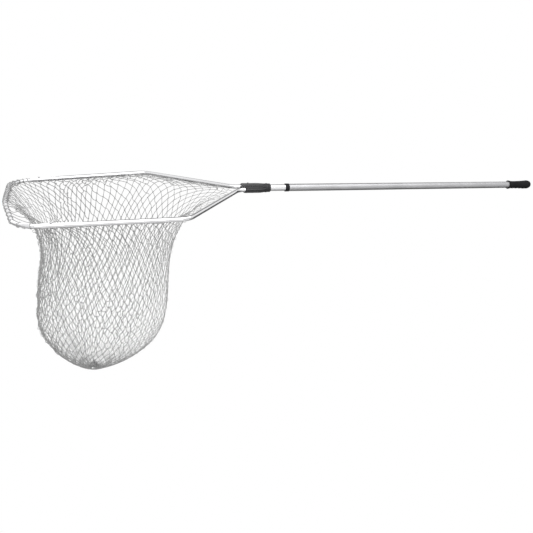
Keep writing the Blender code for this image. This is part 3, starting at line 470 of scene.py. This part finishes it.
def bagAt(share, depth):
    spec = bagSpec
    hem = hemAt(share)
    sunk = np.minimum(1, depth / spec["throatDepth"])
    # hangs straighter off the bow's far half
    tip = np.exp(-(((share % 1 - spec["tipAt"]) / spec["tipWide"]) ** 2))
    hold = (1 - sunk) ** (spec["throatCurve"] + (spec["tipCurve"] - spec["throatCurve"]) * tip)
    level = -depth - (1 - sunk) * spec["throatDepth"] * tip
    poleSide = np.cos(2 * math.pi * share)
    start = spec["bellyDepth"] + spec["lateBelly"] * poleSide
    drop = np.clip((depth - start) / (spec["depth"] - start), 0, 1)
    curve = spec["toeCurve"] - spec["toeSharp"] * poleSide
    swell = np.clip(1 - drop**curve, 0, None) ** (1 / curve)
    waist = 1 - spec["waist"] * np.exp(-(((depth - spec["waistDepth"]) / spec["waistSpan"]) ** 2))
    along = spec["toeFlat"] + (spec["halfLength"] * waist - spec["toeFlat"]) * swell
    wide = spec["toeFlat"] + (spec["halfWidth"] * waist - spec["toeFlat"]) * swell
    leant = hoopSpec["front"] - spec["reach"] - spec["lean"] * depth / spec["depth"]
    centre = leant - spec["toeShift"] * drop
    x = centre + along * np.cos(2 * math.pi * share)
    y = wide * np.sin(2 * math.pi * share)
    return np.stack([x + (hem[..., 0] - x) * hold, y + (hem[..., 1] - y) * hold,
                     hem[..., 2] + (level - hem[..., 2]) * sunk], -1)


def rimShares(spec):
    # meshes are hung wider on the arms, bunched on the bow's far half, few on its near half
    flat, inward = onHoop(np.clip(hemRun, 0, hoopLength))
    crowd = np.ones(hemCount)
    crowd[flat[:, 0] > hoopSpec["shoulder"][0]] = spec["armCrowd"]
    onBow = flat[:, 0] < spec["bowFrom"]
    crowd[onBow & (flat[:, 1] > 0)] = spec["farBowCrowd"]
    crowd[onBow & (flat[:, 1] <= 0)] = spec["nearBowCrowd"]
    total = np.cumsum(crowd) / np.sum(crowd)
    return np.interp((np.arange(spec["meshesRound"]) + 0.5) / spec["meshesRound"], total, hemShare)


def below(values, row, side):
    # the two knots under each knot of a row
    shift = 0 if side == 0 else (1 if row % 2 == 0 else -1)
    return np.roll(values, shift, 0)


def smooth(value, low, high):
    part = np.clip((value - low) / (high - low), 0, 1)
    return part * part * (3 - 2 * part)


def hangNet(spec):
    rng = np.random.RandomState(spec["seed"])
    count, rows, bar = spec["meshesRound"], spec["rows"], spec["bar"]
    rim = rimShares(spec) + rng.uniform(-1, 1, count) * spec["rimJitter"] / count
    share = np.zeros((rows + 1, count))
    depth = np.zeros((rows + 1, count))
    dragged = np.zeros((rows + 1, count))
    for row in range(rows + 1):
        toNext = np.roll(rim, -1) - rim + (np.arange(count) == count - 1)
        held = rim if row % 2 == 0 else rim + toNext / 2
        belly = np.interp(held % 1, spec["rimMarks"], spec["bellyMarks"]) + np.floor(held)
        ease = smooth(row, 0, spec["throatRows"])
        share[row] = held * (1 - ease) + belly * ease
        # along the far rail the top rows are dragged towards the bow, with slack to spare
        dragged[row] = smooth(held, *spec["dragFrom"]) * (1 - smooth(held, *spec["dragTo"]))
        early = smooth(row, 0, spec["dragRows"]) * (1 - smooth(row, spec["dragRows"], spec["dragGone"]))
        share[row] += spec["drag"] * early * dragged[row]
    deepest = bagSpec["depth"] * bagSpec["toeStop"]
    tinyStep = 0.001
    knots = bagAt(share, depth)
    for row in range(1, rows + 1):  # each row hangs a bar's length under the one above
        lowest = np.full(count, deepest)
        for shift in (0, -1 if row % 2 else 1):
            above, start = np.roll(knots[row - 1], shift, 0), np.roll(depth[row - 1], shift)
            aside = np.linalg.norm(bagAt(share[row], start) - above, axis=-1)
            fall = np.sqrt(np.maximum(bar**2 - aside**2, (spec["leastFall"] * bar) ** 2))
            loose = 1 - smooth(row, spec["dragRows"], spec["dragRows"] + 2)
            fall *= 1 - spec["dragSlack"] * dragged[row] * loose
            reach = start
            for look in (0.0, 0.5):  # the bag's slope is read at the start, then half-way down
                at = np.minimum(start + look * (reach - start), deepest)
                moved = bagAt(share[row], at + tinyStep) - bagAt(share[row], at)
                pace = np.linalg.norm(moved, axis=-1) / tinyStep
                reach = start + fall / np.maximum(pace, 0.05)
            lowest = np.minimum(lowest, reach)
        depth[row] = lowest
        knots[row] = bagAt(share[row], depth[row])
    for k in range(count):  # spare rows are taken up towards the toe
        first = np.searchsorted(depth[:, k], spec["slackFrom"])
        lower = np.arange(first, rows + 1)
        part = (lower - first + 1) / (rows - first + 1)
        depth[lower, k] = depth[first - 1, k] + (deepest - depth[first - 1, k]) * part ** spec["slackBend"]
    knots = bagAt(share, depth)
    rimKnots, toeKnots = knots[0].copy(), knots[rows].copy()
    home = knots + rng.normal(0, spec["roughHang"], knots.shape)
    bars = bar * (1 + rng.uniform(-1, 1, (rows, 2, count)) * spec["barJitter"])
    for turn in range(spec["settling"]):
        knots += spec["pull"] * (home - knots) * (1 - spec["pullFade"] * turn / spec["settling"])
        knots[0], knots[rows] = rimKnots, toeKnots
        for row in range(rows) if turn % 2 == 0 else range(rows - 1, -1, -1):
            for side in (0, 1):
                lower = below(knots[row + 1], row, side)
                run = lower - knots[row]
                length = np.linalg.norm(run, axis=-1) + 1e-12
                over = run * (np.maximum(length - bars[row, side], 0) / length)[:, None]
                up, down = (0.0, 1.0) if row == 0 else ((1.0, 0.0) if row + 1 == rows else (0.5, 0.5))
                knots[row] += over * up
                back = 0 if side == 0 else (-1 if row % 2 == 0 else 1)
                knots[row + 1] -= np.roll(over * down, back, 0)
    return knots, bars, share


knots, bars, shares = hangNet(netSpec)
rimRuns = shares[0] * rimLength - hoopGap / 2
print("net hung:", knots.shape[0], "rows of", knots.shape[1], "knots")


def framesAlong(lines):
    # tangent and two cross directions at each point of many lines at once
    ahead = np.gradient(lines, axis=1)
    ahead /= np.linalg.norm(ahead, axis=-1, keepdims=True) + 1e-12
    guide = np.where(np.abs(ahead[:, :1, 2:3]) > 0.9, np.array([1.0, 0, 0]), np.array([0, 0, 1.0]))
    guide = np.broadcast_to(guide, ahead.shape)
    first = np.cross(ahead, guide)
    first /= np.linalg.norm(first, axis=-1, keepdims=True) + 1e-12
    return ahead, first, np.cross(ahead, first)


def tubes(lines, radius, sides=6):
    # vertices, quads and lay coordinates of closed round tubes along lines of equal point count
    count, points = lines.shape[:2]
    ahead, first, second = framesAlong(lines)
    angle = np.arange(sides) / sides * 2 * math.pi
    ring = first[:, :, None] * np.cos(angle)[:, None] + second[:, :, None] * np.sin(angle)[:, None]
    radius = np.broadcast_to(radius, (count, points))[..., None, None]
    verts = (lines[:, :, None] + ring * radius).reshape(-1, 3)
    steps = np.linalg.norm(np.diff(lines, axis=1), axis=-1)
    run = np.concatenate([np.zeros((count, 1)), np.cumsum(steps, 1)], 1)
    base = np.arange(count)[:, None, None] * points * sides
    step = np.arange(points - 1)[None, :, None] * sides
    k = np.arange(sides)[None, None]
    nxt = (k + 1) % sides
    near = base + step
    far = near + sides
    quads = np.stack([near + k, near + nxt, far + nxt, far + k], -1)
    u0 = np.broadcast_to(run[:, :-1, None], quads.shape[:3])
    u1 = np.broadcast_to(run[:, 1:, None], quads.shape[:3])
    v0 = np.broadcast_to(k / sides, quads.shape[:3])
    v1 = np.broadcast_to((k + 1) / sides, quads.shape[:3])
    uv = np.stack([np.stack(pair, -1) for pair in ((u0, v0), (u0, v1), (u1, v1), (u1, v0))], -2)
    fan = np.array([[0, j, j + 1, j + 2] for j in range(1, sides - 2, 2)])
    starts = (base.reshape(-1, 1, 1) + fan[None, :, ::-1]).reshape(-1, 4)
    ends = (base.reshape(-1, 1, 1) + (points - 1) * sides + fan[None]).reshape(-1, 4)
    caps = np.concatenate([starts, ends])
    faces = np.concatenate([quads.reshape(-1, 4), caps])
    lay = np.concatenate([uv.reshape(-1, 2), np.zeros((caps.size, 2))])
    return verts, faces, lay


def meshPiece(name, parts, material, stands):
    verts, faces, uvs, offset = [], [], [], 0
    for v, q, uv in parts:
        verts.append(v)
        faces.append(q + offset)
        uvs.append(uv)
        offset += len(v)
    mesh = bpy.data.meshes.new(name)
    mesh.from_pydata(np.concatenate(verts).tolist(), [], np.concatenate(faces).tolist())
    layer = mesh.uv_layers.new(name="lay")
    layer.data.foreach_set("uv", np.concatenate(uvs).astype(np.float32).ravel())
    mesh.polygons.foreach_set("use_smooth", [True] * len(mesh.polygons))
    mesh.materials.append(material)
    piece = bpy.data.objects.new(name, mesh)
    bpy.context.scene.collection.objects.link(piece)
    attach(piece, "head")
    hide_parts(stands)
    print(name, len(mesh.polygons), "faces")
    return piece


# bars bow a little, as much as their slack allows
barSpec = {"points": 4, "bow": 0.35, "most": 0.006, "outward": 0.5, "stray": 0.5, "down": 0.5, "seed": 11}
rows = netSpec["rows"]
rng = np.random.RandomState(barSpec["seed"])
centres = knots.mean(1, keepdims=True)
barLines = []
for row in range(rows):
    for side in (0, 1):
        top = knots[row]
        low = below(knots[row + 1], row, side)
        length = np.linalg.norm(low - top, axis=-1)
        slack = np.sqrt(np.maximum(bars[row, side] ** 2 - length**2, 0)) * barSpec["bow"]
        out = (top + low) / 2 - centres[row]
        out /= np.linalg.norm(out, axis=-1, keepdims=True) + 1e-9
        stray = rng.normal(0, barSpec["stray"], out.shape)
        sag = out * barSpec["outward"] + stray + np.array([0, 0, -barSpec["down"]])
        sag *= np.minimum(slack, barSpec["most"])[:, None]
        t = np.linspace(0, 1, barSpec["points"])[None, :, None]
        barLines.append(top[:, None] * (1 - t) + low[:, None] * t + sag[:, None] * (4 * t * (1 - t)))
barLines = np.array(barLines)

# knots: lumps with a waist, lying round the bag
knotSpec = {"length": 0.0050, "thick": 0.0038, "rings": 5, "blunt": 0.06, "waist": 0.12, "stray": 0.004}


def knotLumps(places, ahead, spec, size=1.0):
    t = np.linspace(-1, 1, knotSpec["rings"])
    size = np.broadcast_to(size, len(places))[:, None]
    lines = places[:, None] + ahead[:, None] * (size * t * spec["length"] / 2)[..., None]
    shape = np.sqrt(np.maximum(1 - t**2, knotSpec["blunt"]))
    shape = shape * (1 - knotSpec["waist"] * np.cos(t * math.pi * 2))
    return tubes(lines, size * spec["thick"] / 2 * shape)


across = np.roll(knots, -1, 1) - np.roll(knots, 1, 1)
across += rng.normal(0, knotSpec["stray"], across.shape)
across /= np.linalg.norm(across, axis=-1, keepdims=True) + 1e-9

# thinner twine at the toe and down the sides, for the photograph's tone where many strands overlap
twineSpec = {"thick": 0.0021, "toe": 0.50, "toeFrom": 16, "toeTilt": 0.6, "side": 0.55, "sideAt": 0.43,
             "sidePower": 6, "least": 0.45, "full": 0.5, "fullAt": 0.36, "fullWide": 0.09,
             "fullRows": (6, 12)}
rowAt = np.arange(rows + 1)[:, None]
pulled = np.clip((rowAt - twineSpec["toeFrom"]) / (rows - twineSpec["toeFrom"]), 0, 1) * twineSpec["toe"]
pulled = pulled * (1 + twineSpec["toeTilt"] * np.cos(2 * math.pi * shares))
edge = np.cos(2 * math.pi * (shares - twineSpec["sideAt"])) ** twineSpec["sidePower"]
thin = (1 - pulled) * (1 - twineSpec["side"] * edge)
# fuller where it bunches under the far corner of the bow
slackTop = 1 - smooth(rowAt, *twineSpec["fullRows"])
bunched = np.exp(-(((shares - twineSpec["fullAt"]) / twineSpec["fullWide"]) ** 2))
thin *= 1 + twineSpec["full"] * slackTop * bunched
thin = np.maximum(thin, twineSpec["least"])
thicks = [round(v * twineSpec["thick"] * 1000, 2) for v in (thin.min(), thin.max())]
print("twine from", thicks[0], "to", thicks[1], "mm")
bands = [("net_throat", 0, 9), ("net_wall", 9, 18), ("net_belly", 18, 26), ("net_toe", 26, rows)]
for name, first, last in bands:
    lines = barLines[2 * first:2 * last].reshape(-1, barSpec["points"], 3)
    lumps = knots[first + 1:last + 1].reshape(-1, 3), across[first + 1:last + 1].reshape(-1, 3)
    radius = np.repeat(thin[first:last], 2, axis=0).reshape(-1, 1) * twineSpec["thick"] / 2
    size = thin[first + 1:last + 1].ravel()
    meshPiece(name, [tubes(lines, radius), knotLumps(*lumps, knotSpec, size)], netTwine, "net_bag")

# hem: knots along the arms' slots, loops round the bow, bunched on its far half
hemSpec = {"knotReach": 0.0086, "length": 0.0075, "thick": 0.0036, "endGap": 0.004, "loopReach": 0.0071,
           "loopPoints": 15, "tilt": 0.003, "bunchFrom": 0.03, "pastMiddle": 0.02, "bunchArcs": 3,
           "bunchReach": (0.001, 0.006), "bunchTurn": (-120, 10), "bunchSway": 60, "bunchShift": 0.004,
           "arcPoints": 9, "tieSag": 0.006, "twine": 0.0019, "seed": 21}
rng = np.random.RandomState(hemSpec["seed"])
armEnds = runAtX(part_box("right_arm")[0][0]), runAtX(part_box("left_arm")[0][0], False)
onArm = (rimRuns < armEnds[0]) | (rimRuns > armEnds[1])
onArm &= (rimRuns > hemSpec["endGap"]) & (rimRuns < hoopLength - hemSpec["endGap"])
places = besideHoop(rimRuns[onArm], hemSpec["knotReach"])
along = besideHoop(rimRuns[onArm] + 0.001, 0.0) - besideHoop(rimRuns[onArm] - 0.001, 0.0)
along /= np.linalg.norm(along, axis=-1, keepdims=True)
hemKnots = knotLumps(places, along, hemSpec)
bowFrom, bowTo = armEnds[0] + hemSpec["endGap"], armEnds[1] - hemSpec["endGap"]
bowRuns = np.sort(rimRuns[(rimRuns > bowFrom) & (rimRuns < bowTo)])
loops = []
for run in bowRuns:
    turn = np.linspace(0, 360, hemSpec["loopPoints"])
    lean = rng.uniform(-1, 1) * hemSpec["tilt"] * np.cos(np.radians(turn + rng.uniform(0, 360)))
    loops.append(besideHoop(run + lean, hemSpec["loopReach"], turn))
nearHalf = hoopLength / 2 + hemSpec["pastMiddle"]
arcs = []
farRuns = bowRuns[(bowRuns > armEnds[0] + hemSpec["bunchFrom"]) & (bowRuns < nearHalf)]
t = np.linspace(0, 1, hemSpec["arcPoints"])
for first, last in zip(farRuns, farRuns[1:]):
    for k in range(hemSpec["bunchArcs"]):
        turn = rng.uniform(*hemSpec["bunchTurn"]) + rng.uniform(-1, 1) * hemSpec["bunchSway"] * (t - 0.5)
        reach = hemSpec["loopReach"] + rng.uniform(*hemSpec["bunchReach"]) * np.sin(math.pi * t)
        shift = rng.uniform(-1, 1) * hemSpec["bunchShift"]
        arcs.append(besideHoop(first + (last - first) * t + shift, reach, turn))
ties = []
t = t[:, None]
for column in np.where((rimRuns > nearHalf) & (rimRuns < bowTo))[0]:
    top = besideHoop([rimRuns[column]], hemSpec["loopReach"])
    sag = np.array([0, 0, -hemSpec["tieSag"]]) * (4 * t * (1 - t))
    ties.append(top * (1 - t) + knots[0, column] * t + sag)
hemTubes = [tubes(np.array(lines), hemSpec["twine"] / 2) for lines in (loops, arcs, ties) if lines]
meshPiece("hem_lacing", [hemKnots] + hemTubes, netTwine, "net_bag")


def laidCord(line, spec):
    # plies wound round a line, each a closed tube
    steps = np.linalg.norm(np.diff(line, axis=0), axis=-1)
    run = np.concatenate([[0], np.cumsum(steps)])
    fine = np.arange(0, run[-1], spec["pitch"] / 8)
    line = np.stack([np.interp(fine, run, line[:, k]) for k in range(3)], -1)
    ahead, first, second = framesAlong(line[None])
    plyRadius = spec["thick"] * 0.26
    strands = []
    for ply in range(spec["plies"]):
        turn = (2 * math.pi * (fine / spec["pitch"] + ply / spec["plies"]))[:, None]
        strands.append(line + (first[0] * np.cos(turn) + second[0] * np.sin(turn)) * plyRadius)
    return tubes(np.array(strands), plyRadius)


# head lines in the arms' slots
headSpec = {"thick": 0.0046, "reach": 0.0032, "plies": 3, "pitch": 0.014, "step": 0.004}
headLines = [("right_head_line", "right_rim_cord", True), ("left_head_line", "left_rim_cord", False)]
for name, cord, farSide in headLines:
    low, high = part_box(cord)
    run = np.sort([runAtX(high[0], farSide), runAtX(low[0], farSide)])
    line = besideHoop(np.arange(run[0], run[1], headSpec["step"]), headSpec["reach"])
    meshPiece(name, [laidCord(line, headSpec)], headLineTwine, cord)
    print(name, "is", round(run[1] - run[0], 3), "m long")

# gather tie at the toe: two turns, a knot and two short tails
tieSpec = {"thick": 0.0036, "plies": 3, "pitch": 0.011, "ring": 0.009, "turns": 2, "turnPoints": 33,
           "rise": 0.0038, "knot": 0.0021, "knotOut": 0.003, "knotThick": 0.45, "knotPoints": 49,
           "tailRun": (-0.012, 0.010, 0.004), "tailLift": 0.0156, "tailPoints": 12}
low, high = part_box("gather_cord")
centre = np.array([(a + b) / 2 for a, b in zip(low, high)])
turn = np.linspace(0, 2 * math.pi * tieSpec["turns"], tieSpec["turnPoints"] * tieSpec["turns"])
rise = (turn / turn[-1] - 0.5) * tieSpec["rise"]
wraps = centre + np.stack([np.cos(turn) * tieSpec["ring"], np.sin(turn) * tieSpec["ring"], rise], 1)
turn = np.linspace(0, 2 * math.pi, tieSpec["knotPoints"])
knotAt = centre + np.array([tieSpec["ring"] + tieSpec["knotOut"], 0, 0])
trefoil = np.stack([-np.sin(3 * turn), np.sin(turn) + 2 * np.sin(2 * turn),
                    np.cos(turn) - 2 * np.cos(2 * turn)], 1)
knotLine = knotAt + trefoil * tieSpec["knot"]
parts = [laidCord(wraps, tieSpec), tubes(knotLine[None], tieSpec["thick"] * tieSpec["knotThick"])]
tailBack, tailAside, tailUp = tieSpec["tailRun"]
t = np.linspace(0, 1, tieSpec["tailPoints"])[:, None]
lift = np.array([0, 0, tieSpec["tailLift"]]) * t**2
for side in (-1, 1):
    tail = knotAt + np.array([tailBack, side * tailAside, tailUp]) * t + lift
    parts.append(laidCord(tail, tieSpec))
meshPiece("gather_tie", parts, headLineTwine, "gather_cord")
